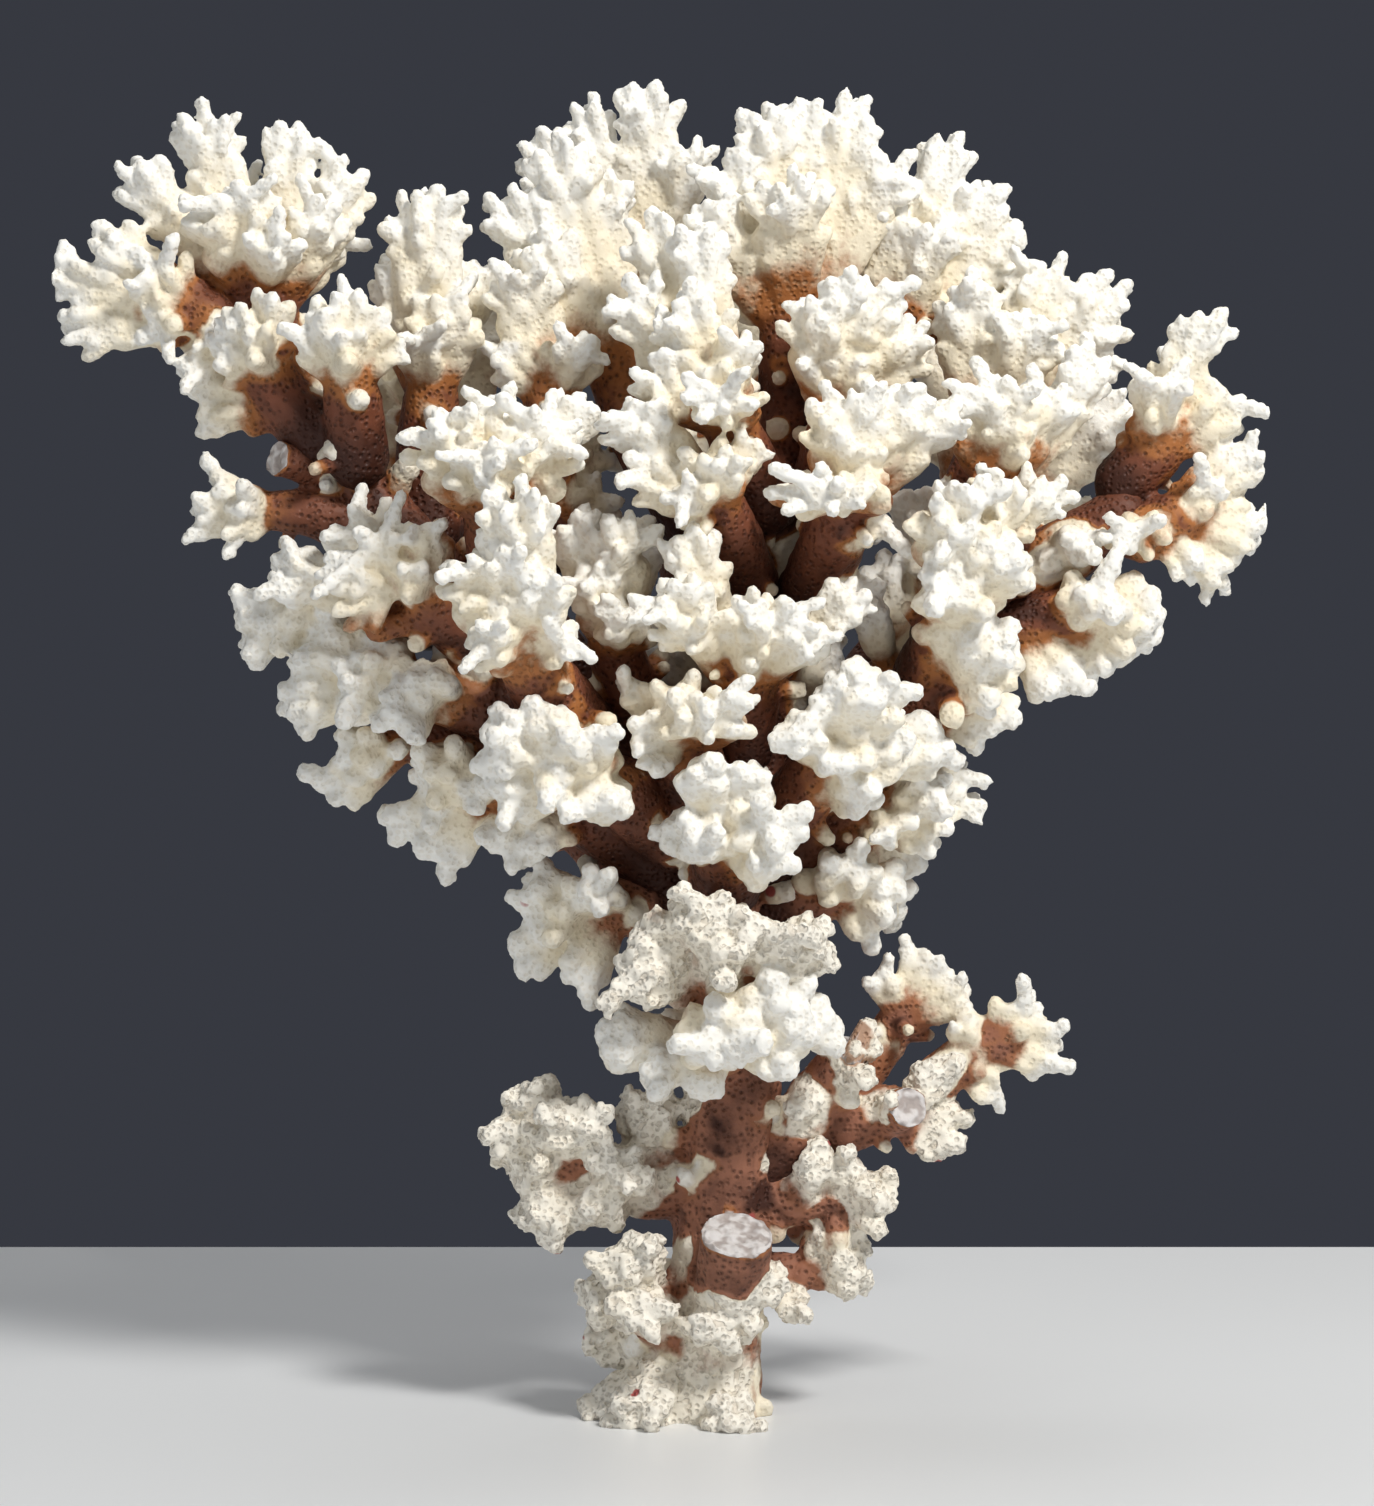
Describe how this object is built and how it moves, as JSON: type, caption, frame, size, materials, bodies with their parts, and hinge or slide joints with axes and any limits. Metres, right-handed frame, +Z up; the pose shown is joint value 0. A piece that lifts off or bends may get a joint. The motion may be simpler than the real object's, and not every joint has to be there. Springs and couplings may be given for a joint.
{
  "type": "branching coral",
  "caption": "Dried cauliflower coral colony: a short trunk forks into stems and ragged lobes, cut flat at the foot so that it stands upright.",
  "frame": {"origin": "on the flat cut under the foot, below the trunk", "axes": "+Z up along the trunk, from the cut to the crown; the broad front faces -Y; +X to the right seen from the front"},
  "size_m": [0.2418, 0.1093, 0.2705],
  "materials": {
    "brown_stem": "red-brown dry skeleton with dark pores, stone-like, matt",
    "white_tips": "white to cream dry skeleton with fine pores and amber roots, stone-like, matt",
    "cream_lobes": "cream dry skeleton with rounded tips and amber roots, stone-like, matt",
    "worn_crust": "eroded chalky skeleton, spongy and rough"
  },
  "bodies": {
    "root": {"trunk": "brown_stem", "left_stem": "brown_stem", "centre_stem": "brown_stem", "right_stem": "brown_stem", "foot_left_arm": "worn_crust", "foot_right_arm": "worn_crust", "low_left_arm": "worn_crust", "low_right_spur": "worn_crust", "right_arm": "worn_crust", "right_arm_tip": "worn_crust", "antler_right": "white_tips", "antler_left": "white_tips", "front_shelf": "worn_crust", "front_shelf_low": "cream_lobes", "mid_left": "cream_lobes", "mid_right": "cream_lobes", "centre_low": "cream_lobes", "right_low": "white_tips", "right_low_front": "cream_lobes", "left_low": "cream_lobes", "left_low_outer": "cream_lobes", "centre_low_left": "cream_lobes", "centre": "white_tips", "left_mid": "cream_lobes", "left_outer": "cream_lobes", "left_upper_outer": "white_tips", "left_front": "white_tips", "centre_front": "white_tips", "centre_upper": "white_tips", "left_fan_outer": "white_tips", "left_fan_inner": "white_tips", "left_crown": "white_tips", "left_crown_outer": "white_tips", "upper_left": "white_tips", "upper_middle": "white_tips", "top_left": "white_tips", "top_left_back": "white_tips", "top_centre": "white_tips", "top_right": "white_tips", "centre_fan": "white_tips", "centre_fan_low": "white_tips", "right_centre": "white_tips", "right_centre_front": "white_tips", "right_upper": "white_tips", "right_upper_front": "white_tips", "far_right": "white_tips", "far_right_low": "white_tips", "right_mid": "white_tips", "right_mid_front": "cream_lobes", "right_lower_outer": "cream_lobes", "right_lower_inner": "cream_lobes", "centre_mid": "white_tips", "centre_left": "white_tips", "back_left": "white_tips", "back_middle": "white_tips", "back_right": "white_tips", "back_low_left": "cream_lobes", "back_low_right": "cream_lobes"}
  },
  "joints": []
}
